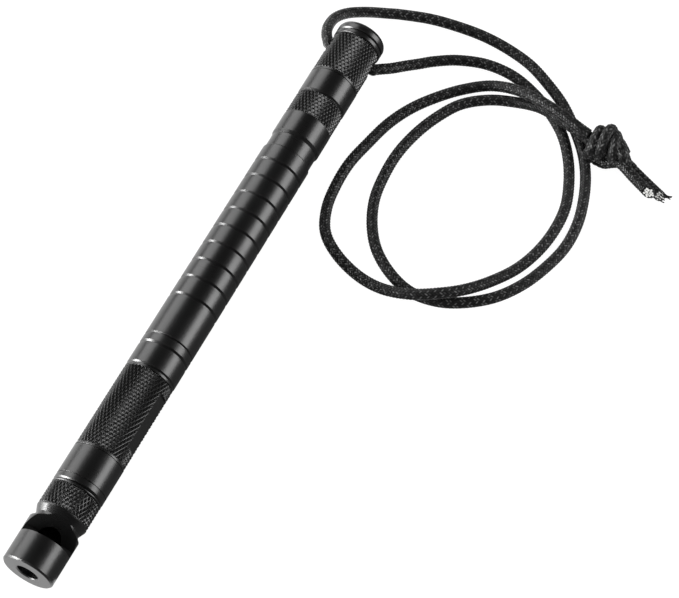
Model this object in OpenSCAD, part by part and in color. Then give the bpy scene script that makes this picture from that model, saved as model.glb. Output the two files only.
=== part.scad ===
// Signal whistle stick: a turned metal rod in three screwed sections, with a cord lanyard.
// Frame: the rod lies on z = 0 along Y, mouthpiece at -Y, centred on the origin. Millimetres.
// Stations named *_s are distances along the rod from the mouthpiece face.

/* [Rod] */
// Outer diameter of the rod
rod_d = 18; // [16:0.5:22]
// Whole length of the rod
rod_len = 230; // [228:1:240]
// Angle of the lanyard hole's mouths out of level
hole_tilt = 14; // [0:1:30]

/* [Whistle head] */
// Radius of the blow bore
bore_r = 3.8; // [3:0.1:4]
// Radius of the sound chamber behind it
chamber_r = 4.4; // [4.2:0.1:5]
// Depth of the windway block's face inside the bore
block_s = 3.6; // [2:0.2:5]
// Height of the air slot over the windway block
slot_h = 1.2; // [0.8:0.1:1.6]
// Station of the window's square edge
window_s = 10.6; // [10:0.2:12]
// Angle of the sloped lip to the rod's axis
lip_angle = 45; // [40:1:55]
// Height of the window's floor over the rod's axis
floor_h = 1.5; // [0.5:0.1:2.5]
// Direction of the window, from straight up towards +X
window_turn = 20; // [0:1:45]

/* [Screw joints] */
// Station of the joint between head and tube
head_joint_s = 30.9; // [30.6:0.1:31.4]
// Station of the joint between tube and tail
tail_joint_s = 177.4; // [176.9:0.1:177.6]
// Length of each threaded spigot
spigot_len = 11; // [10:0.5:12]
// Radius of each threaded spigot over its crests
spigot_r = 7; // [6.8:0.1:7.2]
// Running clearance between spigot and socket
clearance = 0.05; // [0.02:0.01:0.1]

/* [Lanyard] */
// Diameter of the braided cord
cord_d = 4; // [3:0.5:4]
// Diameter of the cross hole
hole_d = 4.6; // [4.4:0.1:5]

/* [Hidden] */
$fn = 96;
rod_r = rod_d / 2;
edge = 0.5;               // chamfer of outer edges
fine_depth = 0.25;        // depth of a fine scribed ring
groove_depth = 0.45;      // depth of the wider turned rings
neck_r = rod_r - 0.45;    // radius of the stepped-down neck
far = 60;                 // larger than anything that is cut away

// Whistle head
chamfer_face = 0.6;
waist_r = rod_r - 1.1;    // bottom of the all-round ring groove
waist_s = 17.7;
waist_end_s = 18.6;
cone_s = 20.6;            // foot of the gentle cone before the knurl
cone_r = rod_r - 0.15;
head_knurl_s = 21.5;
lip_top_s = 20.4;         // station where the sloped lip reaches the outer surface

// O-rings sit in a groove just behind each joint face
ring_wire_r = 0.53;
ring_mid_r = 6.46;
ring_groove_r = 5.9;
ring_groove_from = 1.3;   // from the joint face
ring_groove_to = 2.9;
plug_len = 2;             // thickness of the sound chamber's closing disc
socket_extra = 1.5;       // socket depth beyond the spigot

// Body tube
front_ring_s = 33.2;
long_knurl_s = 44.2;      // fine ring before the long knurl
long_knurl_end_s = 77.3;
ring_pair_s = [85.35, 89.15];
ring_floor = 0.7;         // width of a turned ring's flat floor
ring_slope = 0.75;        // length of its sloped wall, on the tail side
grip_first_s = 105.35;
grip_pitch = 7.39;
grip_count = 9;
neck_s = 172;
tube_bore_r = 6;
tube_bore_end_s = 168;
neck_bore_r = 4.6;
flat_from_s = 51;
flat_to_s = 72.5;
flat_turn = 80;           // direction of the milled flat, from straight up towards +X
flat_h = rod_r - 0.95;    // distance of the flat from the axis

// Tail sleeve
tail_chamfer_s = 178.6;
tail_knurl_s = 187.4;
tail_knurl_end_s = 197;
band_ring_s = 206.7;
lanyard_knurl_s = 207.9;
plug_joint_s = 226.2;
plug_pin_r = 5;
plug_pin_len = 3;
hole_s = 220.2;
hole_ease = 1.4;          // depth of the cone that eases each mouth of the cross hole
end_round = 1.6;          // rounding of the far rim

// Lanyard: hand-placed routes in millimetres, from the hole's mouth to the knot
cord_r = cord_d / 2;
cord_sides = 10;
hole_y = hole_s - rod_len / 2;
mouth_x = 8.6;
ROUTE_A = [
    [-8.6, 105.4, 11.2], [-11, 108.4, 10.6], [-12.7, 111.9, 9.2], [-13.6, 115.5, 7.4], [-13.8, 119.3, 5.6],
    [-12.9, 122.9, 4], [-11, 125.9, 2.8], [-8.2, 128.2, 2.2], [-4.6, 130.2, 2], [0.4, 132.3, 2],
    [6, 134.5, 2], [16, 137.5, 2], [26, 139, 2], [36, 139.5, 2], [46, 138.5, 2],
    [56, 136, 2], [65, 131.5, 2], [73.5, 126, 2], [81, 119, 2], [88, 111, 2], [93, 102.5, 2],
    [96.5, 93, 2], [98.5, 83.5, 2], [98.5, 73.5, 2], [96, 63.5, 2], [92, 54, 2], [86, 45.5, 2],
    [78, 39, 2], [69.5, 35, 2], [60, 34, 2], [51, 37, 2], [42.5, 43, 2], [36.5, 51, 2],
    [32.5, 60.5, 2], [31, 70.5, 2], [31, 81, 2], [33, 91.5, 2], [36.5, 101, 2], [41.5, 109.5, 2],
    [49, 115.5, 2], [57.5, 118.5, 2.8], [67.5, 119, 5.4], [77, 117.2, 6.2], [84.5, 115.5, 6.2],
    [88.5, 115, 5.4]];
ROUTE_B = [
    [8.6, 105.2, 6.8], [11.4, 107.6, 6.1], [14, 110.4, 4.8], [17.1, 114.3, 3.2], [20.8, 118, 2.2],
    [25.4, 121.8, 2], [32.5, 126, 2],
    [42, 129, 2], [52, 129, 2], [61.5, 126, 2], [70.5, 121, 2], [78.5, 114.5, 2], [84.5, 106.5, 2],
    [89, 97.5, 2], [92, 88, 2], [92.5, 78, 2], [91, 68, 2], [87.5, 58.5, 2], [82, 49.5, 3],
    [76, 41.5, 5.2], [69, 35.5, 6.4], [61, 31.5, 5.6], [51, 30, 3.4], [41, 31.5, 2], [31, 35.5, 2],
    [23.5, 41.5, 2], [19.5, 50, 2], [18, 59.5, 2], [18, 70, 2], [20, 80.5, 2], [22.5, 90.5, 2],
    [26.5, 99.5, 2], [32, 107.5, 2], [39, 115, 2.2], [47.5, 120.3, 3.6], [57, 121, 6.8],
    [67, 119, 9.6], [76.5, 116.8, 10.4], [84, 115, 9.8], [88, 114.6, 8.8]];
TAIL_A = [[92.2, 110.9, 2.6], [94.2, 110.5, 2.3], [96.6, 110.4, 2.5], [99.2, 111.1, 3.9], [102.2, 111, 5.4],
    [108.8, 107.9, 5.3], [117.2, 104.2, 5.1]];
TAIL_B = [[101.2, 115, 2], [106, 112.9, 2], [113.1, 109.8, 2], [120.1, 106.9, 2]];
core_r = 1.4;
core_len = 1;

// Knot: three turns lying side by side on the floor, each [centre, radius, direction from +X towards +Y]
KNOT_TURNS = [[[89.6, 113.9, 5.8], 3.8, 12], [[94.4, 115, 5.9], 3.9, 4], [[99, 115.3, 5.5], 3.5, -6]];
knot_core_r = 2.6;

function unit(v) = v / norm(v);
function tangent(p, i) = unit(p[min(i + 1, len(p) - 1)] - p[max(i - 1, 0)]);
function side(t) = unit(cross(t, [0, 0, 1]));
function ring_point(c, t, a, r) = c + r * (cos(a) * side(t) + sin(a) * cross(side(t), t));
function tube_points(p, r, n) =
    [for (i = [0:len(p) - 1]) for (k = [0:n - 1]) ring_point(p[i], tangent(p, i), 360 * k / n, r)];
function tube_walls(rings, n) =
    [for (i = [0:rings - 2]) for (k = [0:n - 1])
        [i * n + k, i * n + (k + 1) % n, (i + 1) * n + (k + 1) % n, (i + 1) * n + k]];
function cap(from, n, flip) = [for (k = [0:n - 1]) from + (flip ? n - 1 - k : k)];

// A round cord swept along a route
module cord(route) {
    polyhedron(points = tube_points(route, cord_r, cord_sides),
               faces = concat([cap(0, cord_sides, true)], tube_walls(len(route), cord_sides),
                              [cap((len(route) - 1) * cord_sides, cord_sides, false)]),
               convexity = 10);
}

// Puts a shape drawn along +Z from the mouthpiece face onto the lying rod
module on_rod() {
    translate([0, -rod_len / 2, rod_r]) rotate([-90, 0, 0]) children();
}

// Turns a shape whose outward side is +X to a direction measured from straight up towards +X
module facing(angle) {
    rotate([0, 0, angle - 90]) children();
}

// A turned solid from radius and station pairs
module turned(profile) {
    rotate_extrude() polygon(profile);
}

// A square-edged ring groove with its floor at radius r
module ring_cut(from_s, to_s, r) {
    translate([0, 0, from_s]) difference() {
        cylinder(r = rod_r + 1, h = to_s - from_s);
        translate([0, 0, -1]) cylinder(r = r, h = to_s - from_s + 2);
    }
}

// A turned ring with a square wall at from_s, a flat floor and a sloped wall on the tail side
module sloped_ring(from_s) {
    difference() {
        translate([0, 0, from_s]) cylinder(r = rod_r + 1, h = ring_floor + ring_slope);
        turned([[0, from_s - 1], [rod_r - groove_depth, from_s - 1], [rod_r - groove_depth, from_s + ring_floor],
                [rod_r, from_s + ring_floor + ring_slope], [rod_r, from_s + 3], [0, from_s + 3]]);
    }
}

// A seal ring in the groove behind a joint face
module seal(joint_s) {
    translate([0, 0, joint_s + (ring_groove_from + ring_groove_to) / 2])
        rotate_extrude() translate([ring_mid_r, 0]) circle(r = ring_wire_r, $fn = 32);
}

// A threaded spigot, plain over its crests, with its seal groove
module spigot(joint_s) {
    turned([[0, joint_s - 1], [spigot_r, joint_s - 1], [spigot_r, joint_s + ring_groove_from],
            [ring_groove_r, joint_s + ring_groove_from], [ring_groove_r, joint_s + ring_groove_to],
            [spigot_r, joint_s + ring_groove_to], [spigot_r, joint_s + spigot_len - edge],
            [spigot_r - edge, joint_s + spigot_len], [0, joint_s + spigot_len]]);
}

// The space above the window's floor, between its square edge and the sloped lip
module window_cut() {
    rise = 2 * rod_r;
    facing(window_turn) rotate([90, 0, 0]) linear_extrude(height = far, center = true)
        polygon([[floor_h, window_s], [floor_h, lip_top_s - (rod_r - floor_h) / tan(lip_angle)],
                 [rise, lip_top_s + (rise - rod_r) / tan(lip_angle)], [rise, window_s]]);
}

module whistle_head() {
    color("#2a2b2d") on_rod() difference() {
        union() {
            turned([[0, 0], [rod_r - chamfer_face, 0], [rod_r, chamfer_face],
                    [rod_r, waist_s - 1.1], [waist_r, waist_s], [waist_r, waist_end_s],
                    [cone_r, cone_s], [rod_r, head_knurl_s],
                    [rod_r, head_joint_s - edge], [rod_r - edge, head_joint_s], [0, head_joint_s]]);
            spigot(head_joint_s);
        }
        translate([0, 0, -1]) cylinder(r = bore_r, h = block_s + 2);
        translate([0, 0, block_s]) cylinder(r = chamber_r, h = head_joint_s + spigot_len);
        window_cut();
    }
}

// Round block with its top milled away to leave the air slot
module windway_block() {
    color("#1c1c1e") on_rod() difference() {
        translate([0, 0, block_s]) cylinder(r = chamber_r, h = window_s - block_s);
        facing(window_turn) translate([bore_r - slot_h, -far / 2, 0]) cube([far, far, far]);
        window_cut();
    }
}

module chamber_plug() {
    color("#3a3b3d") on_rod() translate([0, 0, head_joint_s + spigot_len - plug_len])
        cylinder(r = chamber_r, h = plug_len);
}

module head_o_ring() {
    color("#101010") on_rod() seal(head_joint_s);
}

module body_tube() {
    socket_end = head_joint_s + spigot_len + socket_extra;
    color("#2a2b2d") on_rod() difference() {
        union() {
            turned([[0, head_joint_s], [rod_r - edge, head_joint_s], [rod_r, head_joint_s + edge],
                    [rod_r, neck_s - edge], [rod_r - edge, neck_s], [neck_r, neck_s],
                    [neck_r, tail_joint_s], [0, tail_joint_s]]);
            spigot(tail_joint_s);
        }
        translate([0, 0, head_joint_s - 1])
            cylinder(r = spigot_r + clearance, h = socket_end - head_joint_s + 1);
        translate([0, 0, socket_end - 1]) cylinder(r = tube_bore_r, h = tube_bore_end_s - socket_end + 1);
        translate([0, 0, tube_bore_end_s - 1])
            cylinder(r = neck_bore_r, h = tail_joint_s + spigot_len - tube_bore_end_s + 2);
        ring_cut(front_ring_s, front_ring_s + fine_depth, rod_r - fine_depth);
        ring_cut(long_knurl_s, long_knurl_s + fine_depth, rod_r - fine_depth);
        ring_cut(long_knurl_end_s, long_knurl_end_s + fine_depth, rod_r - fine_depth);
        for (s = ring_pair_s) sloped_ring(s);
        for (i = [0:grip_count - 1]) sloped_ring(grip_first_s + i * grip_pitch);
        facing(flat_turn) translate([flat_h, -far / 2, flat_from_s])
            cube([far, far, flat_to_s - flat_from_s]);
    }
}

module tube_o_ring() {
    color("#101010") on_rod() seal(tail_joint_s);
}

module tail_sleeve() {
    color("#2a2b2d") on_rod() difference() {
        turned([[0, tail_joint_s], [neck_r, tail_joint_s], [rod_r, tail_chamfer_s],
                [rod_r, plug_joint_s - edge], [rod_r - edge, plug_joint_s], [0, plug_joint_s]]);
        translate([0, 0, tail_joint_s - 1])
            cylinder(r = spigot_r + clearance, h = spigot_len + socket_extra + 1);
        translate([0, 0, plug_joint_s - plug_pin_len]) cylinder(r = plug_pin_r, h = plug_pin_len + 1);
        for (s = [tail_knurl_s, tail_knurl_end_s, band_ring_s, lanyard_knurl_s])
            ring_cut(s - fine_depth / 2, s + fine_depth / 2, rod_r - fine_depth);
        facing(90 + hole_tilt) translate([0, 0, hole_s]) rotate([0, 90, 0]) {
            cylinder(d = hole_d, h = 2 * rod_d, center = true);
            for (way = [-1, 1]) scale([1, 1, way]) translate([0, 0, rod_r - hole_ease])
                cylinder(r1 = hole_d / 2, r2 = hole_d / 2 + 2 * hole_ease, h = 2 * hole_ease);
        }
    }
}

module end_plug() {
    arc = [for (a = [0:15:90]) [rod_r - end_round + end_round * cos(a),
                                rod_len - end_round + end_round * sin(a)]];
    color("#2a2b2d") on_rod() turned(concat(
        [[0, plug_joint_s - plug_pin_len], [plug_pin_r, plug_joint_s - plug_pin_len],
         [plug_pin_r, plug_joint_s], [rod_r - edge, plug_joint_s], [rod_r, plug_joint_s + edge]],
        arc, [[0, rod_len]]));
}

module lanyard_a() {
    color("#1b1b1c") cord(ROUTE_A);
}

module lanyard_b() {
    color("#1b1b1c") cord(ROUTE_B);
}

// The stretch of cord inside the cross hole
module lanyard_bridge() {
    color("#1b1b1c") translate([0, hole_y, rod_r]) rotate([0, 90 + hole_tilt, 0])
        cylinder(r = cord_r, h = 2 * mouth_x / cos(hole_tilt), center = true);
}

module lanyard_knot() {
    first = KNOT_TURNS[0];
    last = KNOT_TURNS[2];
    run = last[0] - first[0];
    color("#1b1b1c") {
        for (turn = KNOT_TURNS) translate(turn[0]) rotate([0, 0, turn[2]]) rotate([0, 90, 0])
            rotate_extrude() translate([turn[1], 0]) circle(r = cord_r, $fn = 32);
        translate(first[0]) rotate([0, acos(run[2] / norm(run)), atan2(run[1], run[0])])
            cylinder(r = knot_core_r, h = norm(run));
    }
}

module lanyard_tail_a() {
    color("#1b1b1c") cord(TAIL_A);
}

module lanyard_tail_b() {
    color("#1b1b1c") cord(TAIL_B);
}

// White inner strands standing out of a cut end
module cord_core(route) {
    last = len(route) - 1;
    way = unit(route[last] - route[last - 1]);
    color("#e8e8e4") translate(route[last])
        rotate([0, acos(way[2]), atan2(way[1], way[0])]) cylinder(r = core_r, h = core_len, $fn = 32);
}

module cord_core_a() {
    cord_core(TAIL_A);
}

module cord_core_b() {
    cord_core(TAIL_B);
}

whistle_head();
windway_block();
chamber_plug();
head_o_ring();
body_tube();
tube_o_ring();
tail_sleeve();
end_plug();
lanyard_a();
lanyard_b();
lanyard_bridge();
lanyard_knot();
lanyard_tail_a();
lanyard_tail_b();
cord_core_a();
cord_core_b();
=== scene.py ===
"""Looks of a signal whistle stick: knurled black metal in three screwed sections and a braided cord.

Works in the CAD model's frame. Stations are millimetres along the rod from the mouthpiece face, as
in the CAD source, and angles round the rod run from straight up towards +X.
"""

import math

import bmesh
import bpy
import numpy as np
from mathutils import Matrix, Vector


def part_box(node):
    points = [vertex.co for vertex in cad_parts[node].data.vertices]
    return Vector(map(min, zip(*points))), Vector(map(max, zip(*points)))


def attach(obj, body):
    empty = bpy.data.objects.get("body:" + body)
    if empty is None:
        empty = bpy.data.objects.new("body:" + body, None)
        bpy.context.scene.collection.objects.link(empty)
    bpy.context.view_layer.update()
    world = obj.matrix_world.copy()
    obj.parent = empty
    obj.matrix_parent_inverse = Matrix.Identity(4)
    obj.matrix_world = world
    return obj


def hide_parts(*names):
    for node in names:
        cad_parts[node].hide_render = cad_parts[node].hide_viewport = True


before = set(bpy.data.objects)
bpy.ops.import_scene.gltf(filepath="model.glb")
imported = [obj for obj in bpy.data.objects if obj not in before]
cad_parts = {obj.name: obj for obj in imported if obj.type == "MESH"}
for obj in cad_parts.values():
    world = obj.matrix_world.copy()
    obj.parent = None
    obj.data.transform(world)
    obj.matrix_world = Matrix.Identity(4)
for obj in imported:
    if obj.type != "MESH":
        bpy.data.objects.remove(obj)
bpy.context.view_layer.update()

MM = 0.001
rod_low, rod_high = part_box("tail_sleeve")
head_low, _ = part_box("whistle_head")
_, plug_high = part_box("end_plug")
ROD_R = (rod_high.z - rod_low.z) / 2 / MM
FACE_Y = head_low.y / MM
ROD_LEN = (plug_high.y - head_low.y) / MM
AXIS_Z = (rod_high.z + rod_low.z) / 2 / MM

# Turned rings, grooves and edges, in millimetres; AROUND is the mesh's columns round the rod
AROUND = 390
FINE = 0.22         # depth of the fine grooves
GROOVE = 0.45       # depth of the rings
RING_FLOOR = 0.7
RING_SLOPE = 0.72
EDGE = 0.5          # chamfers
STEP_DOWN = 0.35    # depth of the relief beside a knurl
NECK_R = ROD_R - 0.45

# Joint faces, screw joints and bores
HEAD_JOINT = 30.9
TAIL_JOINT = 177.4
PLUG_JOINT = 226.2
PLUG_SEAT = 3.0
PLUG_SEAT_R = 5.0
PLUG_R = 4.95
SPIGOT = 11.0
SPIGOT_R = 7.0
SOCKET_R = 7.05
SOCKET_DEPTH = 12.5
SOCKET_LEAD = 3.0   # plain length before a socket's thread
RING_FROM, RING_TO, RING_R = 1.3, 2.9, 5.9
THREAD_PITCH = 1.5
THREAD_DEPTH = 0.5
THREAD_ROWS = 12    # mesh rows a turn
BORE_R = 3.8
CHAMBER_R = 4.4
TUBE_BORE_R = 6.0
NECK_BORE_R = 4.6
NECK_BORE_FROM = 168.0
VENT_R = 1.2
CENTRE_R = 0.02     # closes a solid face to a point

# Window, flat and cross hole; the angles are turns round the rod
BLOCK = 3.6
WINDOW = 10.6
FLOOR_H = 1.5
LIP_TOP = 20.4
LIP_ANGLE = math.radians(45)
WINDOW_TURN = math.radians(20)
FLAT_TURN = math.radians(80)
FLAT_H = ROD_R - 0.95
FLAT_FROM, FLAT_TO = 51.0, 72.5
HOLE = 220.2
HOLE_R = 2.3
HOLE_EASE = 1.4
HOLE_TILT = math.radians(14)
HOLE_SIDES = 64

# Knurled bands from the mouthpiece to the tail: crossed V grooves at 30 degrees to the axis
HEAD_KNURL = (21.5, 29.9)
LONG_KNURL = (45.3, 76.6)
TAIL_KNURL = (187.4, 196.9)
CORD_KNURL = (207.9, 224.3)
TEETH = 39
KNURL_PITCH_S = 2 * math.pi * ROD_R / TEETH / math.tan(math.radians(30))
KNURL_DEPTH = 0.5
KNURL_FLANK = 0.49
KNURL_ROWS = 10     # mesh rows a pitch

# Rings on the tube: a pair, then the row of grip rings
PAIR = (85.35, 89.15)
GRIP_RINGS = 9
GRIP_RING_FROM = 105.35
GRIP_RING_PITCH = 7.39

PHI = np.arange(AROUND) * 2 * math.pi / AROUND


# ---------------------------------------------------------------- meshes


def mesh_object(name, verts, faces, smooth=True):
    """A mesh object from millimetre vertices, in metres."""
    mesh = bpy.data.meshes.new(name)
    mesh.from_pydata((np.asarray(verts) * MM).tolist(), [], faces)
    mesh.update()
    mesh.polygons.foreach_set("use_smooth", np.full(len(mesh.polygons), smooth))
    obj = bpy.data.objects.new(name, mesh)
    bpy.context.scene.collection.objects.link(obj)
    return obj


def face_outward(obj):
    """Turns every face of a closed mesh outward."""
    bm = bmesh.new()
    bm.from_mesh(obj.data)
    bmesh.ops.recalc_face_normals(bm, faces=bm.faces)
    bm.to_mesh(obj.data)
    bm.free()


def point_values(obj, name, values):
    """Stores one number a vertex, for the shaders."""
    layer = obj.data.attributes.new(name, "FLOAT", "POINT")
    layer.data.foreach_set("value", np.asarray(values, np.float32))


def finish_piece(obj, body, node, material):
    """Gives a piece its material and its body, and hides the CAD node that it stands for."""
    obj.data.materials.clear()
    for m in material if isinstance(material, (list, tuple)) else [material]:
        obj.data.materials.append(m)
    if node:
        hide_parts(node)
    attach(obj, body)
    return obj


class Outline:
    """A lathe outline as rows round the rod: station, radius at each angle, and an edge mark that lightens
    the metal's colour, partly for scuffing and partly as a painted highlight.
    """

    def __init__(self):
        self.rows = []
        self.flat_rows = set()
        self.pending = []

    def at(self, s, r, fillet=0.0):
        """A corner of the outline, rounded by the given radius."""
        self.pending.append((s, r, fillet))
        return self

    def row(self, s, radii, wear_and_glint):
        """One row of the mesh at a station."""
        self.rows.append((s, np.asarray(radii, float), np.asarray(wear_and_glint, float)))

    def flush(self):
        """Turns the corners given so far into rows."""
        points, self.pending = self.pending, []
        for i, (s, r, fillet) in enumerate(points):
            if fillet and 0 < i < len(points) - 1:
                self.rounded(points[i - 1], points[i], points[i + 1])
            else:
                self.row(s, np.full(AROUND, r), np.zeros(AROUND))

    def rounded(self, before, here, after, steps=4):
        """Replaces a corner by an arc; outward corners are marked as scuffed and given a painted highlight.
        """
        p = np.array(here[:2])
        a = np.array(before[:2]) - p
        b = np.array(after[:2]) - p
        la, lb = np.linalg.norm(a), np.linalg.norm(b)
        a, b = a / la, b / lb
        half = math.acos(np.clip(a @ b, -1, 1)) / 2
        cut = min(here[2] / math.tan(half), 0.45 * la, 0.45 * lb)
        convex = a[0] * b[1] - a[1] * b[0] > 0
        start, end = p + a * cut, p + b * cut
        if cut + 0.1 < 0.45 * la:
            self.row(*self.flat_point(p + a * (cut + 0.05)))
        for k in range(steps + 1):
            t = k / steps
            q = (1 - t) ** 2 * start + 2 * t * (1 - t) * p + t**2 * end
            worn_and_glint = math.sin(math.pi * t) if convex else 0.0
            self.row(q[0], np.full(AROUND, q[1]), np.full(AROUND, worn_and_glint))
        if cut + 0.1 < 0.45 * lb:
            self.row(*self.flat_point(p + b * (cut + 0.05)))

    def flat_point(self, q):
        """A round row at a station and radius, with no edge mark for scuffing or painted highlight."""
        return q[0], np.full(AROUND, q[1]), np.zeros(AROUND)

    def knurl(self, start, end):
        """A knurled band with its ends tapered off."""
        self.flush()
        step = KNURL_PITCH_S / KNURL_ROWS
        stations = list(np.linspace(start, end, int(round((end - start) / step)) + 1))
        for cut in (FLAT_FROM, FLAT_TO):
            if start < cut < end:
                stations += [cut - 0.01, cut + 0.01]
        first = len(self.rows)
        for s in sorted(stations):
            turns = PHI * TEETH / (2 * math.pi)
            away = [np.abs((turns + k * s / KNURL_PITCH_S + 0.5) % 1 - 0.5) for k in (1, -1)]
            rise = np.minimum(np.minimum(*away) / KNURL_FLANK, 1)
            taper = min(1.0, (s - start) / 0.4 + 0.1, (end - s) / 0.4 + 0.1)
            rise = np.minimum(rise, taper)
            radii = ROD_R - KNURL_DEPTH + KNURL_DEPTH * rise
            # The knurl's crests are marked lighter in colour: partly scuffing, partly a painted highlight.
            wear_and_glint = np.clip(rise - 0.75, 0, 1) * 4
            if FLAT_FROM < s < FLAT_TO:
                reach = FLAT_H / np.maximum(np.cos(PHI - FLAT_TURN), 0.05)
                wear_and_glint = np.where(reach < radii, 0.0, wear_and_glint)
                radii = np.minimum(radii, reach)
            self.row(s, radii, wear_and_glint)
        self.flat_rows.update(range(first, len(self.rows) - 1))
        return self

    def thread(self, start, end, r, inside=False):
        """A right-hand thread cut into a wall of radius r, run out at both ends."""
        self.flush()
        low, high = min(start, end), max(start, end)
        count = int((high - low) / THREAD_PITCH * THREAD_ROWS)
        for s in np.linspace(start, end, count + 1):
            phase = (s / THREAD_PITCH - PHI / (2 * math.pi)) % 1
            cut = np.clip(1.25 - np.abs(phase - 0.5) * 3.2, 0, 1)
            run_out = max(0.0, min(1.0, (s - low) / 0.8, (high - s) / 0.8))
            depth = THREAD_DEPTH * cut * run_out
            # The thread's crests are marked half as light: partly scuffing, partly a painted highlight.
            self.row(s, r + depth if inside else r - depth, (1 - cut) * 0.5)
        return self

    def sloped_ring(self, start, floor=RING_FLOOR, slope=RING_SLOPE):
        """A turned ring with a square wall, a flat floor and a sloped wall on the tail side."""
        self.at(start, ROD_R, 0.1).at(start, ROD_R - GROOVE, 0.08)
        return self.at(start + floor, ROD_R - GROOVE, 0.25).at(start + floor + slope, ROD_R, 0.2)

    def groove(self, middle, width, depth, fillet=0.1):
        """A square ring groove."""
        near, far = middle - width / 2, middle + width / 2
        self.at(near, ROD_R, fillet).at(near, ROD_R - depth, fillet * 0.7)
        return self.at(far, ROD_R - depth, fillet * 0.7).at(far, ROD_R, fillet)

    def build(self, name):
        """Revolves the closed outline into one mesh."""
        self.flush()
        verts = []
        for s, radii, _ in self.rows:
            x = radii * np.sin(PHI)
            z = AXIS_Z + radii * np.cos(PHI)
            verts.append(np.stack([x, np.full(AROUND, FACE_Y + s), z], 1))
        verts = np.concatenate(verts)
        count = len(self.rows)
        i = np.repeat(np.arange(count), AROUND)
        j = np.tile(np.arange(AROUND), count)
        nxt_i, nxt_j = (i + 1) % count, (j + 1) % AROUND
        here, beyond = i * AROUND, nxt_i * AROUND
        faces = np.stack([here + j, here + nxt_j, beyond + nxt_j, beyond + j], 1)
        obj = mesh_object(name, verts, faces.tolist())
        smooth = ~np.isin(i, list(self.flat_rows))
        obj.data.polygons.foreach_set("use_smooth", smooth)
        point_values(obj, "wear_and_glint", np.concatenate([wear_and_glint for _, _, wear_and_glint in self.rows]))
        return obj


def bake_modifiers(obj):
    """Applies an object's modifiers to its mesh."""
    bpy.context.view_layer.update()
    graph = bpy.context.evaluated_depsgraph_get()
    mesh = bpy.data.meshes.new_from_object(obj.evaluated_get(graph))
    old, obj.data = obj.data, mesh
    obj.modifiers.clear()
    bpy.data.meshes.remove(old)


def cut_away(obj, cutter):
    """Cuts one closed mesh out of another and removes the cutter."""
    mod = obj.modifiers.new("cut", "BOOLEAN")
    mod.operation, mod.solver, mod.object = "DIFFERENCE", "EXACT", cutter
    mod.material_mode = "TRANSFER"
    bake_modifiers(obj)
    bpy.data.objects.remove(cutter)


def sharp_edges(obj, degrees=28):
    """Breaks smooth shading at the edges that a cut left."""
    obj.data.set_sharp_from_angle(angle=math.radians(degrees))


def rod_point(turn, out, across, s):
    """A point given by its height and sideways distance in a turned frame on the rod's axis."""
    up = np.array([math.sin(turn), 0, math.cos(turn)])
    aside = np.array([math.cos(turn), 0, -math.sin(turn)])
    return up * out + aside * across + np.array([0, FACE_Y + s, AXIS_Z])


# ---------------------------------------------------------------- shaders


def new_material(name):
    """A material with its node tree and its shader."""
    material = bpy.data.materials.new(name)
    material.use_nodes = True
    tree = material.node_tree
    return material, tree, tree.nodes["Principled BSDF"]


def add(tree, kind, **values):
    """A node with its properties and input defaults set by name."""
    node = tree.nodes.new(kind)
    for key, value in values.items():
        if key in node.inputs:
            node.inputs[key].default_value = value
        else:
            setattr(node, key, value)
    return node


def math_node(tree, operation, a, b):
    """The result of a sum or product of sockets or numbers."""
    node = tree.nodes.new("ShaderNodeMath")
    node.operation = operation
    for socket, value in zip(node.inputs, (a, b)):
        if isinstance(value, (int, float)):
            socket.default_value = value
        else:
            tree.links.new(value, socket)
    return node.outputs[0]


def ramp(tree, source, stops):
    """A colour ramp from (position, grey or colour) stops."""
    node = tree.nodes.new("ShaderNodeValToRGB")
    while len(node.color_ramp.elements) < len(stops):
        node.color_ramp.elements.new(0.5)
    for element, (place, tone) in zip(node.color_ramp.elements, stops):
        element.position = place
        element.color = (*tone, 1) if isinstance(tone, tuple) else (tone, tone, tone, 1)
    tree.links.new(source, node.inputs[0])
    return node.outputs[0]


def object_place(tree):
    """The place on the object, in metres."""
    return tree.nodes.new("ShaderNodeTexCoord").outputs["Object"]


def black_metal():
    """Satin black anodised metal: lathe lines, fine grain, and edges lighter in colour, partly scuffed and
    partly a painted highlight.
    """
    material, tree, shader = new_material("black_metal")
    place = object_place(tree)
    parts = add(tree, "ShaderNodeSeparateXYZ")
    tree.links.new(place, parts.inputs[0])
    lathe = add(tree, "ShaderNodeTexNoise", noise_dimensions="1D", Scale=5200.0, Detail=2.0)
    tree.links.new(parts.outputs["Y"], lathe.inputs["W"])
    grain = add(tree, "ShaderNodeTexNoise", Scale=9000.0, Detail=1.0)
    tree.links.new(place, grain.inputs["Vector"])
    smudge = add(tree, "ShaderNodeTexNoise", Scale=90.0, Detail=4.0, Roughness=0.6)
    tree.links.new(place, smudge.inputs["Vector"])
    wear_and_glint = add(tree, "ShaderNodeAttribute", attribute_name="wear_and_glint")
    # Marked edges lighten the base colour: partly scuffing, partly a painted highlight on the edges.
    rubbed_and_glint = math_node(tree, "MULTIPLY", wear_and_glint.outputs["Fac"], smudge.outputs["Fac"])
    tree.links.new(ramp(tree, rubbed_and_glint, [(0.0, 0.003), (0.35, 0.009), (0.8, 0.045)]),
                   shader.inputs["Base Color"])
    mixed = math_node(tree, "ADD", math_node(tree, "MULTIPLY", smudge.outputs["Fac"], 0.7),
                      math_node(tree, "MULTIPLY", lathe.outputs["Fac"], 0.3))
    tree.links.new(ramp(tree, mixed, [(0.3, 0.26), (0.75, 0.36)]), shader.inputs["Roughness"])
    shader.inputs["IOR"].default_value = 1.85
    height = math_node(tree, "ADD", math_node(tree, "MULTIPLY", lathe.outputs["Fac"], 0.6),
                       math_node(tree, "MULTIPLY", grain.outputs["Fac"], 0.4))
    bump = add(tree, "ShaderNodeBump", Strength=0.16, Distance=0.00004)
    tree.links.new(height, bump.inputs["Height"])
    tree.links.new(bump.outputs[0], shader.inputs["Normal"])
    return material


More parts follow.
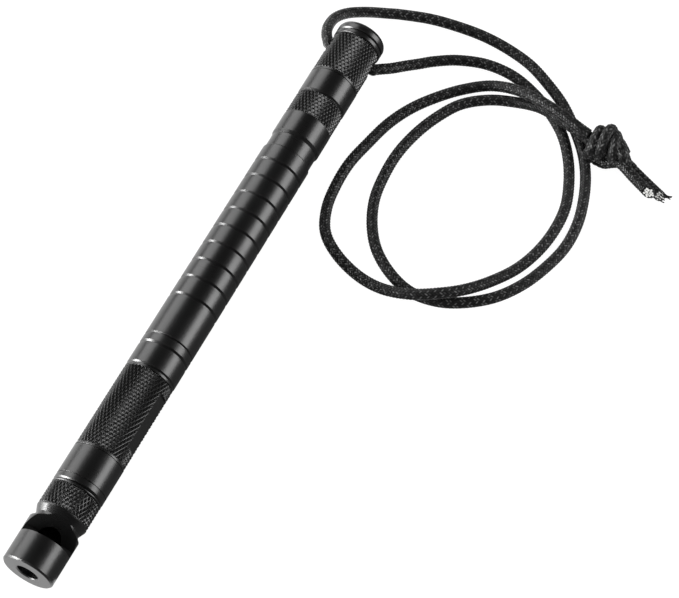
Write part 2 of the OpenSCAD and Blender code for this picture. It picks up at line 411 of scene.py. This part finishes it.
def soft_black(name, tone, roughness, grain_scale, strength):
    """A matte black finish with a fine grain, for the milled window, plastic and rubber."""
    material, tree, shader = new_material(name)
    place = object_place(tree)
    grain = add(tree, "ShaderNodeTexNoise", Scale=grain_scale, Detail=3.0)
    tree.links.new(place, grain.inputs["Vector"])
    tree.links.new(ramp(tree, grain.outputs["Fac"], [(0.3, tone * 0.8), (0.7, tone * 1.3)]),
                   shader.inputs["Base Color"])
    tree.links.new(ramp(tree, grain.outputs["Fac"], [(0.3, roughness), (0.7, roughness + 0.12)]),
                   shader.inputs["Roughness"])
    bump = add(tree, "ShaderNodeBump", Strength=strength, Distance=0.00005)
    tree.links.new(grain.outputs["Fac"], bump.inputs["Height"])
    tree.links.new(bump.outputs[0], shader.inputs["Normal"])
    return material


def braid_nylon():
    """Black nylon braid: painted shade between the yarns and a painted highlight on their crowns, with fine
    filaments along them.
    """
    material, tree, shader = new_material("braid_nylon")
    high = add(tree, "ShaderNodeAttribute", attribute_name="yarn")
    across = add(tree, "ShaderNodeAttribute", attribute_name="across")
    tone = add(tree, "ShaderNodeAttribute", attribute_name="tone")
    filaments = add(tree, "ShaderNodeTexNoise", noise_dimensions="1D", Scale=14.0, Detail=2.0)
    tree.links.new(across.outputs["Fac"], filaments.inputs["W"])
    uneven = math_node(tree, "ADD", math_node(tree, "MULTIPLY", tone.outputs["Fac"], 0.4), 0.65)
    # Base colour from the yarn height: painted shade in the gaps between yarns and a painted highlight on
    # their crowns, varied by a random tone per yarn.
    crown_light_and_gap_shade = math_node(tree, "MULTIPLY", high.outputs["Fac"], uneven)
    colour = ramp(tree, crown_light_and_gap_shade, [(0.5, 0.0005), (0.78, 0.014), (1.0, 0.13)])
    tree.links.new(colour, shader.inputs["Base Color"])
    strands = math_node(tree, "MULTIPLY", filaments.outputs["Fac"], 0.25)
    gloss = math_node(tree, "ADD", high.outputs["Fac"], strands)
    tree.links.new(ramp(tree, gloss, [(0.55, 0.8), (1.0, 0.3)]), shader.inputs["Roughness"])
    shader.inputs["Sheen Weight"].default_value = 0.12
    shader.inputs["Sheen Roughness"].default_value = 0.4
    shader.inputs["Specular IOR Level"].default_value = 0.5
    bump = add(tree, "ShaderNodeBump", Strength=0.5, Distance=0.00006)
    tree.links.new(filaments.outputs["Fac"], bump.inputs["Height"])
    tree.links.new(bump.outputs[0], shader.inputs["Normal"])
    return material


def white_strands():
    """Off-white inner strands, greyer in a fine random grain."""
    material, tree, shader = new_material("white_strands")
    grain = add(tree, "ShaderNodeTexNoise", Scale=2600.0, Detail=3.0)
    tree.links.new(object_place(tree), grain.inputs["Vector"])
    tree.links.new(ramp(tree, grain.outputs["Fac"], [(0.3, (0.62, 0.62, 0.6)), (0.6, (0.93, 0.93, 0.91))]),
                   shader.inputs["Base Color"])
    shader.inputs["Roughness"].default_value = 0.6
    shader.inputs["Sheen Weight"].default_value = 0.2
    bump = add(tree, "ShaderNodeBump", Strength=0.6, Distance=0.00012)
    tree.links.new(grain.outputs["Fac"], bump.inputs["Height"])
    tree.links.new(bump.outputs[0], shader.inputs["Normal"])
    return material


METAL = black_metal()
# The window's cut gets a black that is darker and duller than the metal: a matte milled finish, darkened
# further as painted shade in the recess.
WINDOW_BLACK_SHADED = soft_black("window_black_shaded", 0.0025, 0.66, 5000.0, 0.2)
BLOCK_BLACK = soft_black("block_black", 0.012, 0.5, 3500.0, 0.2)
SEAL_BLACK = soft_black("seal_black", 0.015, 0.42, 2500.0, 0.1)
BRAID = braid_nylon()
STRANDS = white_strands()


# ---------------------------------------------------------------- rod


def spigot_outline(outline, joint, bore_r):
    """Spigot behind a joint face: seal groove, thread, end chamfer and the bore's mouth."""
    outline.at(joint, SPIGOT_R, 0.12).at(joint + RING_FROM, SPIGOT_R, 0.08)
    outline.at(joint + RING_FROM, RING_R, 0.1).at(joint + RING_TO, RING_R, 0.1)
    outline.at(joint + RING_TO, SPIGOT_R, 0.08).at(joint + RING_TO + 0.4, SPIGOT_R)
    outline.thread(joint + RING_TO + 0.6, joint + SPIGOT - EDGE, SPIGOT_R)
    outline.at(joint + SPIGOT - EDGE + 0.01, SPIGOT_R).at(joint + SPIGOT, SPIGOT_R - EDGE, 0.1)
    outline.at(joint + SPIGOT, bore_r + 0.3, 0.1).at(joint + SPIGOT - 0.3, bore_r)


def window_cutter():
    """A prism between the window's square edge and the sloped lip, down to the rod's axis."""
    top = 2 * ROD_R
    foot = LIP_TOP - (ROD_R - FLOOR_H) / math.tan(LIP_ANGLE)
    crest = LIP_TOP + (top - ROD_R) / math.tan(LIP_ANGLE)
    outline = [(FLOOR_H, WINDOW), (FLOOR_H, foot), (top, crest), (top, WINDOW)]
    verts = [rod_point(WINDOW_TURN, out, across, s) for across in (-20, 20) for out, s in outline]
    faces = [(0, 1, 2, 3), (7, 6, 5, 4)] + [(k, k + 4, (k + 1) % 4 + 4, (k + 1) % 4) for k in range(4)]
    cutter = mesh_object("window_cutter", verts, faces)
    face_outward(cutter)
    cutter.data.materials.append(WINDOW_BLACK_SHADED)
    return cutter


def make_head():
    """Whistle head: mouthpiece, waist, short knurl and threaded spigot, with the window cut in."""
    o = Outline()
    o.at(0.35, BORE_R).at(0, BORE_R + 0.35, 0.12).at(0, ROD_R - 0.55, 0.15).at(0.55, ROD_R, 0.2)
    o.at(16.55, ROD_R, 0.25).at(17.7, ROD_R - 1.12, 0.5).at(18.6, ROD_R - 1.12, 0.5)
    o.at(20.95, ROD_R - 0.1, 0.6).at(21.4, ROD_R - 0.02, 0.1).at(21.5, ROD_R - 0.2)
    o.knurl(*HEAD_KNURL)
    o.at(29.92, ROD_R - 0.3).at(30.05, ROD_R - 0.1, 0.05).at(30.2, ROD_R - 0.02, 0.05)
    o.at(30.5, ROD_R - 0.02, 0.1).at(HEAD_JOINT, ROD_R - 0.6, 0.1)
    spigot_outline(o, HEAD_JOINT, CHAMBER_R)
    o.at(BLOCK, CHAMBER_R).at(BLOCK, BORE_R)
    head = o.build("whistle_head_turned")
    head.data.materials.append(METAL)
    cut_away(head, window_cutter())
    sharp_edges(head)
    return finish_piece(head, "head", "whistle_head", [METAL, WINDOW_BLACK_SHADED])


def make_tube():
    """Body tube: socket, grooves, long knurl with its flat, ring pair, grip rings, neck and spigot."""
    o = Outline()
    o.at(HEAD_JOINT + 0.25, SOCKET_R).at(HEAD_JOINT, SOCKET_R + 0.25, 0.05)
    o.at(HEAD_JOINT, ROD_R - 0.5, 0.1).at(HEAD_JOINT + 0.6, ROD_R, 0.15)
    o.groove(33.33, 0.35, FINE, 0.08)
    o.groove(44.3, 0.3, FINE, 0.08)
    o.at(45.1, ROD_R, 0.1).at(45.25, ROD_R - STEP_DOWN)
    o.knurl(*LONG_KNURL)
    o.at(76.62, ROD_R - STEP_DOWN).at(76.7, ROD_R - 0.1, 0.03).at(77.3, ROD_R - 0.1, 0.05)
    o.at(77.4, ROD_R - 0.4, 0.05).at(77.6, ROD_R - 0.4, 0.05).at(78.2, ROD_R, 0.15)
    o.sloped_ring(PAIR[0]).sloped_ring(PAIR[1], 0.75, 0.3)
    for i in range(GRIP_RINGS):
        o.sloped_ring(GRIP_RING_FROM + GRIP_RING_PITCH * i)
    o.at(171.6, ROD_R, 0.15).at(172.0, ROD_R - 0.4, 0.08).at(172.0, NECK_R, 0.05)
    o.at(TAIL_JOINT, NECK_R, 0.1)
    spigot_outline(o, TAIL_JOINT, NECK_BORE_R)
    o.at(NECK_BORE_FROM + 0.3, NECK_BORE_R).at(NECK_BORE_FROM, 4.9, 0.1).at(NECK_BORE_FROM, TUBE_BORE_R)
    o.at(HEAD_JOINT + SOCKET_DEPTH, TUBE_BORE_R).at(HEAD_JOINT + SOCKET_DEPTH, SOCKET_R)
    o.thread(HEAD_JOINT + SOCKET_DEPTH - 0.5, HEAD_JOINT + SOCKET_LEAD, SOCKET_R, inside=True)
    tube = o.build("body_tube_turned")
    return finish_piece(tube, "tube", "body_tube", METAL)


def hole_cutter():
    """A drill with countersunk mouths along the lanyard hole."""
    ease, sides = HOLE_EASE, HOLE_SIDES
    profile = [(-ROD_R - ease, HOLE_R + 2 * ease), (-ROD_R + ease, HOLE_R),
               (ROD_R - ease, HOLE_R), (ROD_R + ease, HOLE_R + 2 * ease)]
    way = np.array([math.cos(HOLE_TILT), 0, -math.sin(HOLE_TILT)])
    up = np.array([math.sin(HOLE_TILT), 0, math.cos(HOLE_TILT)])
    centre = np.array([0, FACE_Y + HOLE, AXIS_Z])
    verts = []
    for along, r in profile:
        for k in range(sides):
            a = 2 * math.pi * k / sides
            verts.append(centre + way * along + r * (math.cos(a) * up + math.sin(a) * np.array([0, 1, 0])))
    faces = [tuple(range(sides)), tuple(reversed(range(3 * sides, 4 * sides)))]
    for i in range(3):
        for k in range(sides):
            n = (k + 1) % sides
            faces.append((i * sides + k, (i + 1) * sides + k, (i + 1) * sides + n, i * sides + n))
    cutter = mesh_object("hole_cutter", verts, faces)
    face_outward(cutter)
    cutter.data.materials.append(METAL)
    return cutter


def make_tail():
    """Tail section: socket, two knurls and the bands between them, drilled across for the cord."""
    o = Outline()
    o.at(TAIL_JOINT + 0.25, SOCKET_R).at(TAIL_JOINT, SOCKET_R + 0.25, 0.05)
    o.at(TAIL_JOINT, NECK_R - 0.15, 0.08).at(TAIL_JOINT + 0.2, NECK_R - 0.05, 0.05).at(178.7, ROD_R, 0.2)
    o.at(187.1, ROD_R, 0.06).at(187.2, ROD_R - FINE, 0.05).at(187.4, ROD_R - STEP_DOWN)
    o.knurl(*TAIL_KNURL)
    o.at(196.92, ROD_R - STEP_DOWN).at(197.0, ROD_R - 0.4, 0.05).at(197.7, ROD_R, 0.15)
    o.groove(206.75, 0.35, FINE, 0.08)
    o.at(207.7, ROD_R, 0.1).at(207.9, ROD_R - STEP_DOWN)
    o.knurl(*CORD_KNURL)
    o.at(224.32, ROD_R - STEP_DOWN).at(224.5, ROD_R - 0.1, 0.05).at(224.7, ROD_R - 0.02, 0.05)
    o.at(225.8, ROD_R - 0.02, 0.1).at(PLUG_JOINT, ROD_R - EDGE, 0.08)
    o.at(PLUG_JOINT, PLUG_SEAT_R).at(PLUG_JOINT - PLUG_SEAT, PLUG_SEAT_R).at(PLUG_JOINT - PLUG_SEAT, VENT_R)
    o.at(TAIL_JOINT + SOCKET_DEPTH, VENT_R).at(TAIL_JOINT + SOCKET_DEPTH, SOCKET_R)
    o.thread(TAIL_JOINT + SOCKET_DEPTH - 0.5, TAIL_JOINT + SOCKET_LEAD, SOCKET_R, inside=True)
    tail = o.build("tail_sleeve_turned")
    tail.data.materials.append(METAL)
    cut_away(tail, hole_cutter())
    sharp_edges(tail)
    return finish_piece(tail, "tail", "tail_sleeve", METAL)


def make_end_plug():
    """End plug: a rounded rim on a short seat."""
    o = Outline()
    o.at(PLUG_JOINT - PLUG_SEAT, CENTRE_R).at(PLUG_JOINT - PLUG_SEAT, PLUG_R, 0.3).at(PLUG_JOINT, PLUG_R)
    o.at(PLUG_JOINT, ROD_R - EDGE, 0.08).at(PLUG_JOINT + EDGE, ROD_R, 0.12)
    o.at(ROD_LEN - 1.6, ROD_R, 1.2).at(ROD_LEN - 0.5, ROD_R - 0.5, 1.0).at(ROD_LEN, ROD_R - 1.6, 1.2)
    o.at(ROD_LEN, 2.0).at(ROD_LEN, CENTRE_R)
    plug = o.build("end_plug_turned")
    sharp_edges(plug)
    return finish_piece(plug, "tail", "end_plug", METAL)


# ---------------------------------------------------------------- cord

# The routes of part.scad, in its millimetres
CORD_R = 2.0
ROUTE_A = [
    (-8.6, 105.4, 11.2), (-11, 108.4, 10.6), (-12.7, 111.9, 9.2), (-13.6, 115.5, 7.4), (-13.8, 119.3, 5.6),
    (-12.9, 122.9, 4), (-11, 125.9, 2.8), (-8.2, 128.2, 2.2), (-4.6, 130.2, 2), (0.4, 132.3, 2),
    (6, 134.5, 2), (16, 137.5, 2), (26, 139, 2), (36, 139.5, 2), (46, 138.5, 2),
    (56, 136, 2), (65, 131.5, 2), (73.5, 126, 2), (81, 119, 2), (88, 111, 2), (93, 102.5, 2),
    (96.5, 93, 2), (98.5, 83.5, 2), (98.5, 73.5, 2), (96, 63.5, 2), (92, 54, 2), (86, 45.5, 2),
    (78, 39, 2), (69.5, 35, 2), (60, 34, 2), (51, 37, 2), (42.5, 43, 2), (36.5, 51, 2),
    (32.5, 60.5, 2), (31, 70.5, 2), (31, 81, 2), (33, 91.5, 2), (36.5, 101, 2), (41.5, 109.5, 2),
    (49, 115.5, 2), (57.5, 118.5, 2.8), (67.5, 119, 5.4), (77, 117.2, 6.2), (84.5, 115.5, 6.2),
    (88.5, 115, 5.4)]
ROUTE_B = [
    (8.6, 105.2, 6.8), (11.4, 107.6, 6.1), (14, 110.4, 4.8), (17.1, 114.3, 3.2), (20.8, 118, 2.2),
    (25.4, 121.8, 2), (32.5, 126, 2),
    (42, 129, 2), (52, 129, 2), (61.5, 126, 2), (70.5, 121, 2), (78.5, 114.5, 2), (84.5, 106.5, 2),
    (89, 97.5, 2), (92, 88, 2), (92.5, 78, 2), (91, 68, 2), (87.5, 58.5, 2), (82, 49.5, 3),
    (76, 41.5, 5.2), (69, 35.5, 6.4), (61, 31.5, 5.6), (51, 30, 3.4), (41, 31.5, 2), (31, 35.5, 2),
    (23.5, 41.5, 2), (19.5, 50, 2), (18, 59.5, 2), (18, 70, 2), (20, 80.5, 2), (22.5, 90.5, 2),
    (26.5, 99.5, 2), (32, 107.5, 2), (39, 115, 2.2), (47.5, 120.3, 3.6), (57, 121, 6.8),
    (67, 119, 9.6), (76.5, 116.8, 10.4), (84, 115, 9.8), (88, 114.6, 8.8)]
TAIL_A = [
    (92.2, 110.9, 2.6), (94.2, 110.5, 2.3), (96.6, 110.4, 2.5), (99.2, 111.1, 3.9), (102.2, 111, 5.4),
    (108.8, 107.9, 5.3), (117.2, 104.2, 5.1)]
TAIL_B = [(101.2, 115, 2), (106, 112.9, 2), (113.1, 109.8, 2), (120.1, 106.9, 2)]

# The knot's turns from the tails' side to the loop's: centre, radius, heading from +X to +Y, and lean
KNOT_TURNS = [((101.4, 115.0, 6.1), 3.9, 44, 24), ((98.0, 115.8, 6.6), 4.5, 26, 10),
              ((94.2, 115.8, 6.9), 4.7, 4, 2), ((90.3, 114.2, 6.1), 4.0, 8, -10)]
KNOT_WOUND = 3.72           # turns that the wound strand makes
KNOT_POINTS = 18            # route points a turn
KNOT_LEAVES = math.radians(190)
KNOT_TUCK = 0.3             # turns over which its start is tucked inside
KNOT_CORD_R = 2.2
KNOT_TO_TAIL = [(90.3, 110.0, 4.1), (91.0, 110.3, 2.9)]
KNOT_CORE = [(86.5, 114.7, 8.2), (90.2, 114.4, 6.8), (95.2, 115.3, 6.2), (99.0, 115.4, 3.4),
             TAIL_B[0], TAIL_B[1]]
KNOT_UNDER = [(88.0, 115.1, 5.6), (91.5, 113.6, 4.6), (95.5, 112.8, 4.3), (99.0, 113.3, 4.7),
              (101.6, 112.2, 5.2)]

# How far back each cut end slants, and the way that the cut faces
SLANT_A, SLANT_A_TO = 3.8, (-0.3, -0.6, 0.74)
SLANT_B, SLANT_B_TO = 2.6, (0.1, -0.6, 0.79)

# Braid: yarns each way round, their lead along the cord, and the mesh's sides and steps
YARNS = 12
LEAD = 14.0
SIDES = 64
STEP = 0.24
YARN_RELIEF = 0.4
BRIDGE_OUT = 1.2            # how far the bridge runs out with each strand

# White strands and loose yarns at the cut ends
CORE_STRANDS = 17
CORE_STRAND_R = 0.36
CORE_SPREAD = 1.35
GOLDEN_ANGLE = 2.39996
FRAYS = 7
FRAY_R = 0.2
THREAD_STEP = 0.15


def spline(points, step):
    """Points at even steps along a Catmull-Rom curve through the given points."""
    p = np.array(points, float)
    p = np.vstack([2 * p[0] - p[1], p, 2 * p[-1] - p[-2]])
    fine = []
    t = np.linspace(0, 1, 60, endpoint=False)[:, None]
    for i in range(1, len(p) - 2):
        a, b, c, d = p[i - 1], p[i], p[i + 1], p[i + 2]
        fine.append(0.5 * (2 * b + (c - a) * t + (2 * a - 5 * b + 4 * c - d) * t**2
                           + (3 * b - a - 3 * c + d) * t**3))
    fine = np.vstack([*fine, p[-2][None]])
    run = np.r_[0, np.cumsum(np.linalg.norm(np.diff(fine, axis=0), axis=1))]
    even = np.linspace(0, run[-1], max(2, int(round(run[-1] / step)) + 1))
    return np.stack([np.interp(even, run, fine[:, k]) for k in range(3)], 1), run[-1]


def frames(path):
    """Tangents and a twist-free pair of normals along a path."""
    tangent = np.gradient(path, axis=0)
    tangent /= np.linalg.norm(tangent, axis=1)[:, None]
    normal = np.zeros_like(path)
    n = np.cross(tangent[0], [0, 0, 1.0])
    for i, t in enumerate(tangent):
        n = n - t * (n @ t)
        n /= np.linalg.norm(n)
        normal[i] = n
    return tangent, normal, np.cross(tangent, normal)


def braid(theta, s):
    """Height, distance across the yarn and tone of a two-over-two braid at an angle and a length."""
    u = theta * YARNS / (2 * math.pi) + s * YARNS / LEAD
    v = theta * YARNS / (2 * math.pi) - s * YARNS / LEAD
    over = (np.floor(u) + np.floor(v)) % 4 < 2
    across = np.where(over, u % 1, v % 1) - 0.5
    along = np.where(over, (v + np.floor(u) % 4) % 2, (u + np.floor(v) % 4) % 2) / 2 - 0.5
    dome = np.sqrt(np.clip(1 - (across * 2) ** 2 * 0.85, 0, 1))
    high = dome * (1 - 0.35 * (2 * np.abs(along)) ** 2)
    yarn = np.where(over, np.floor(u) * 1.7, np.floor(v) * 2.3 + 11)
    return high, across, 0.5 + 0.5 * np.sin(yarn * 12.9898)


def braided(name, route, slant=0.0, toward=(0, 0, 1), radius=CORD_R):
    """A braided cord along a route, its far end cut back on the side that faces a direction.

    Returns the object, the points that it follows and its length.
    """
    path, length = spline(route, STEP)
    tangent, normal, other = frames(path)
    s = np.linspace(0, length, len(path))[:, None]
    theta = (np.arange(SIDES) * 2 * math.pi / SIDES)[None]
    high, across, tone = braid(theta + 0 * s, s + 0 * theta)
    r = radius - YARN_RELIEF * (1 - high)
    aside = np.cos(theta)[..., None] * normal[:, None] + np.sin(theta)[..., None] * other[:, None]
    verts = path[:, None] + r[..., None] * aside
    if slant:
        way = math.atan2(other[-1] @ toward, normal[-1] @ toward)
        back = slant * (1 + np.cos(theta - way)) / 2
        share = np.clip((s - length) / (2.5 * slant) + 1, 0, 1)
        verts = verts - (share * back)[..., None] * tangent[:, None]
    verts[..., 2] = np.maximum(verts[..., 2], 0)  # pressed flat where it lies on the ground
    rows = len(path)
    i = np.repeat(np.arange(rows - 1), SIDES)
    j = np.tile(np.arange(SIDES), rows - 1)
    n = (j + 1) % SIDES
    faces = np.stack([i * SIDES + j, i * SIDES + n, (i + 1) * SIDES + n, (i + 1) * SIDES + j], 1).tolist()
    faces.append(tuple(range(SIDES)))
    faces.append(tuple(range((rows - 1) * SIDES, rows * SIDES)))
    obj = mesh_object(name, verts.reshape(-1, 3), faces)
    for label, value in (("yarn", high), ("across", across), ("tone", tone)):
        point_values(obj, label, value.ravel())
    face_outward(obj)
    return obj, path, length


def threads(name, lines, radius, sides=10):
    """A mesh of thin round threads along short lines, rounded at their far ends."""
    verts, faces = [], []
    for line in lines:
        path, length = spline(line, THREAD_STEP)
        _, normal, other = frames(path)
        left = length - np.linspace(0, length, len(path))
        r = radius * np.sqrt(np.clip(1 - (1 - np.clip(left / radius, 0, 1)) ** 2, 0.02, 1))
        base = len(verts)
        for k in range(len(path)):
            for m in range(sides):
                a = 2 * math.pi * m / sides
                verts.append(path[k] + r[k] * (math.cos(a) * normal[k] + math.sin(a) * other[k]))
        for k in range(len(path) - 1):
            for m in range(sides):
                n = (m + 1) % sides
                faces.append((base + k * sides + m, base + k * sides + n,
                              base + (k + 1) * sides + n, base + (k + 1) * sides + m))
        faces.append(tuple(base + m for m in range(sides)))
        faces.append(tuple(base + (len(path) - 1) * sides + m for m in range(sides)))
    obj = mesh_object(name, verts, faces)
    face_outward(obj)
    return obj


def scatter(k, salt):
    """A fixed number from 0 to 1 for an index."""
    return (math.sin(k * 12.9898 + salt * 78.233) * 43758.5453) % 1


def make_core(name, node, route, slant, toward):
    """White inner strands that stand a little out of a cut end."""
    path, _ = spline(route, STEP)
    tangent, normal, other = frames(path)
    end, way = path[-1], tangent[-1]
    turn = math.atan2(other[-1] @ toward, normal[-1] @ toward)
    lines = []
    for k in range(CORE_STRANDS):
        a, r = k * GOLDEN_ANGLE, CORE_SPREAD * math.sqrt((k + 0.5) / CORE_STRANDS)
        aside = r * (math.cos(a) * normal[-1] + math.sin(a) * other[-1])
        back = slant * (1 + math.cos(a - turn) * r / CORD_R) / 2
        tip = end + aside + way * (0.1 + 0.35 * scatter(k, 1) - back)
        bent = (np.array([scatter(k, 2), scatter(k, 3), scatter(k, 4)]) - 0.5) * 0.35
        lines.append([tip - way * 2.2, tip - way * 0.9, tip + bent])
    return finish_piece(threads(name, lines, CORE_STRAND_R), "tail", node, STRANDS)


def make_frays():
    """Loose sheath yarns at the longer tail's end."""
    end, before = np.array(TAIL_B[-1]), np.array(TAIL_B[-2])
    way = (end - before) / np.linalg.norm(end - before)
    side = np.cross([0, 0, 1.0], way)
    lines = []
    for k in range(FRAYS):
        a = math.radians(-30 + 200 * (k + 0.5) / FRAYS)
        root = end + (CORD_R - 0.25) * (math.cos(a) * side + math.sin(a) * np.array([0, 0, 1.0]))
        reach = 1.4 + 2.6 * scatter(k, 5) * max(0.25, math.cos(a * 0.8))
        drift = side * (0.5 + 0.9 * scatter(k, 6)) + np.array([0, 0, -0.5 * scatter(k, 7)])
        lines.append([root - way * 1.0, root + way * 0.1, root + way * reach * 0.55 + drift * 0.35,
                      root + way * reach + drift])
    obj = threads("lanyard_tail_b_frays", lines, FRAY_R)
    for label in ("yarn", "tone"):
        point_values(obj, label, np.full(len(obj.data.vertices), 0.6))
    return finish_piece(obj, "tail", "cord_core_b", BRAID)


def knot_route():
    """The wound strand: from inside the knot, round its turns, then over to one tail."""
    middle = np.arange(len(KNOT_TURNS)) + 0.5
    values = np.array([[*centre, r, heading, lean] for centre, r, heading, lean in KNOT_TURNS])
    points = []
    for t in np.arange(0, KNOT_WOUND + 0.001, 1 / KNOT_POINTS):
        x, y, z, r, heading, lean = (np.interp(t, middle, values[:, k]) for k in range(6))
        heading, lean = math.radians(heading), math.radians(lean)
        u = np.array([-math.sin(heading), math.cos(heading), 0])
        v = np.array([-math.sin(lean) * math.cos(heading), -math.sin(lean) * math.sin(heading),
                      math.cos(lean)])
        a = KNOT_LEAVES + 2 * math.pi * (t - KNOT_WOUND)
        r *= 1 - 0.45 * max(0.0, 1 - t / KNOT_TUCK)
        q = np.array([x, y, z]) + r * (math.cos(a) * u + math.sin(a) * v)
        q[2] = max(q[2], KNOT_CORD_R)
        points.append(q)
    return [*points, *[np.array(q) for q in KNOT_TO_TAIL], np.array(TAIL_A[0]), np.array(TAIL_A[1])]


def make_knot():
    """The knot, both tails and what shows at their cut ends: every piece on the cord but the strands."""
    wrap, _, _ = braided("lanyard_knot_wrap", knot_route(), radius=KNOT_CORD_R)
    core, _, _ = braided("lanyard_knot_core", KNOT_CORE, radius=KNOT_CORD_R)
    fill, _, _ = braided("lanyard_knot_under", KNOT_UNDER, radius=KNOT_CORD_R)
    for piece in (wrap, core, fill):
        finish_piece(piece, "tail", "lanyard_knot", BRAID)
    tail_a, _, _ = braided("lanyard_tail_a_braid", TAIL_A, SLANT_A, SLANT_A_TO)
    tail_b, _, _ = braided("lanyard_tail_b_braid", TAIL_B, SLANT_B, SLANT_B_TO)
    finish_piece(tail_a, "tail", "lanyard_tail_a", BRAID)
    finish_piece(tail_b, "tail", "lanyard_tail_b", BRAID)
    core_a = make_core("cord_core_a_strands", "cord_core_a", TAIL_A, SLANT_A, SLANT_A_TO)
    core_b = make_core("cord_core_b_strands", "cord_core_b", TAIL_B, SLANT_B, SLANT_B_TO)
    return [wrap, core, fill, tail_a, tail_b, core_a, core_b, make_frays()]


def make_strand(name, node, route):
    """One of the two long strands, with the points that it follows and its length."""
    obj, path, length = braided(name, route)
    finish_piece(obj, "tail", node, BRAID)
    return obj, path, length


def make_bridge():
    """The stretch of cord inside the cross hole, bent into the strands at both mouths."""
    ends = []
    for route in (ROUTE_A, ROUTE_B):
        mouth, on = np.array(route[0]), np.array(route[1])
        out = mouth + BRIDGE_OUT * (on - mouth) / np.linalg.norm(on - mouth)
        inside = mouth * (0.62, 1, 1) + np.array([0, 0, AXIS_Z - mouth[2]]) * 0.38
        ends.append([out, route[0], inside])
    middle = (0, ROUTE_B[0][1], AXIS_Z)
    obj, _, _ = braided("lanyard_bridge_braid", [*ends[0], middle, *reversed(ends[1])])
    return finish_piece(obj, "tail", "lanyard_bridge", BRAID)


# ---------------------------------------------------------------- making

make_head()
make_tube()
make_tail()
make_end_plug()
for node, material in (("windway_block", BLOCK_BLACK), ("chamber_plug", METAL),
                       ("head_o_ring", SEAL_BLACK), ("tube_o_ring", SEAL_BLACK)):
    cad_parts[node].data.materials.clear()
    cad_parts[node].data.materials.append(material)

strand_a, path_a, length_a = make_strand("lanyard_a_braid", "lanyard_a", ROUTE_A)
strand_b, path_b, length_b = make_strand("lanyard_b_braid", "lanyard_b", ROUTE_B)
make_bridge()
knot_pieces = make_knot()


# ---------------------------------------------------------------- studio


# Millimetres: half the floor's side, how far it lies under the ground, and the cards' height
FLOOR_SPAN = 3000
FLOOR_GAP = 0.02
CARD_H = 0.05
CARD_SPAN = 2500
LIGHT_DISTANCE = 1.1  # metres


def make_camera():
    """The viewing angle, distance and lens of the reference view."""
    data = bpy.data.cameras.new("camera")
    data.sensor_width, data.lens = 36.0, 128.3
    camera = bpy.data.objects.new("camera", data)
    camera.location = (0.2210, -0.3274, 0.7145)
    azimuth, elevation = math.radians(27.51), math.radians(61.16)
    way = Vector((-math.sin(azimuth) * math.cos(elevation), math.cos(azimuth) * math.cos(elevation),
                  -math.sin(elevation)))
    camera.rotation_mode = "QUATERNION"
    camera.rotation_quaternion = way.to_track_quat("-Z", "Y")
    data.clip_start, data.clip_end = 0.01, 20
    bpy.context.scene.collection.objects.link(camera)
    bpy.context.scene.camera = camera


def make_floor():
    """A white sweep that stays nearly white in the picture."""
    signs = ((-1, -1), (1, -1), (1, 1), (-1, 1))
    corners = [(x * FLOOR_SPAN, y * FLOOR_SPAN, -FLOOR_GAP) for x, y in signs]
    floor = mesh_object("floor", corners, [(0, 1, 2, 3)])
    material, _, shader = new_material("floor_white")
    shader.inputs["Base Color"].default_value = (0.12, 0.12, 0.12, 1)
    shader.inputs["Roughness"].default_value = 0.9
    shader.inputs["Emission Color"].default_value = (1, 1, 1, 1)
    shader.inputs["Emission Strength"].default_value = 0.97
    floor.data.materials.append(material)


def make_flag(name, corners, strength):
    """A dark or bright card lying on the floor that only reflections see."""
    flag = mesh_object(name, [(x, y, CARD_H) for x, y in corners], [(0, 1, 2, 3)])
    material, _, shader = new_material(name)
    shader.inputs["Base Color"].default_value = (0, 0, 0, 1)
    shader.inputs["Specular IOR Level"].default_value = 0
    shader.inputs["Emission Color"].default_value = (1, 1, 1, 1)
    shader.inputs["Emission Strength"].default_value = strength
    flag.data.materials.append(material)
    flag.visible_camera = flag.visible_diffuse = flag.visible_shadow = flag.visible_transmission = False


def make_world():
    """White to the eye, a soft fill on matte surfaces and nearly dark in reflections."""
    world = bpy.data.worlds.new("studio")
    world.use_nodes = True
    tree = world.node_tree
    back = tree.nodes["Background"]
    path = tree.nodes.new("ShaderNodeLightPath")
    seen = math_node(tree, "MULTIPLY", path.outputs["Is Camera Ray"], 0.965)
    fill = math_node(tree, "MULTIPLY", path.outputs["Is Diffuse Ray"], 0.5)
    strength = math_node(tree, "ADD", math_node(tree, "ADD", seen, fill), 0.035)
    back.inputs["Color"].default_value = (1, 1, 1, 1)
    tree.links.new(strength, back.inputs["Strength"])
    bpy.context.scene.world = world


def facing_light(name, across, tilt, size, size_y, power):
    """A softbox whose reflection angle round the rod, and lean along it, are given in degrees."""
    a, b = math.radians(across), math.radians(tilt)
    way = Vector((math.sin(a) * math.cos(b), math.sin(b), math.cos(a) * math.cos(b)))
    data = bpy.data.lights.new(name, "AREA")
    data.shape, data.size, data.size_y, data.energy = "RECTANGLE", size, size_y, power
    light = bpy.data.objects.new(name, data)
    light.location = way * LIGHT_DISTANCE
    light.rotation_mode = "QUATERNION"
    light.rotation_quaternion = (-light.location).to_track_quat("-Z", "Y")
    bpy.context.scene.collection.objects.link(light)


make_camera()
make_floor()
make_flag("flag_right", [(0, -110), (CARD_SPAN, -110), (CARD_SPAN, CARD_SPAN), (0, CARD_SPAN)], 0.1)
make_flag("flag_front", [(14, -CARD_SPAN), (CARD_SPAN, -CARD_SPAN), (CARD_SPAN, -110), (14, -110)], 0.1)
make_flag("card_left", [(-FLOOR_SPAN, -FLOOR_SPAN), (-60, -FLOOR_SPAN), (-60, -118), (-FLOOR_SPAN, 900)],
          4.5)
make_world()
facing_light("key_left", -56, 16, 1.2, 0.82, 6.2)
facing_light("kick_left", -90, -38, 0.78, 0.7, 38)
facing_light("strip_right", 69.5, 24, 0.9, 0.6, 5.6)
bpy.context.scene.view_settings.view_transform = "Standard"
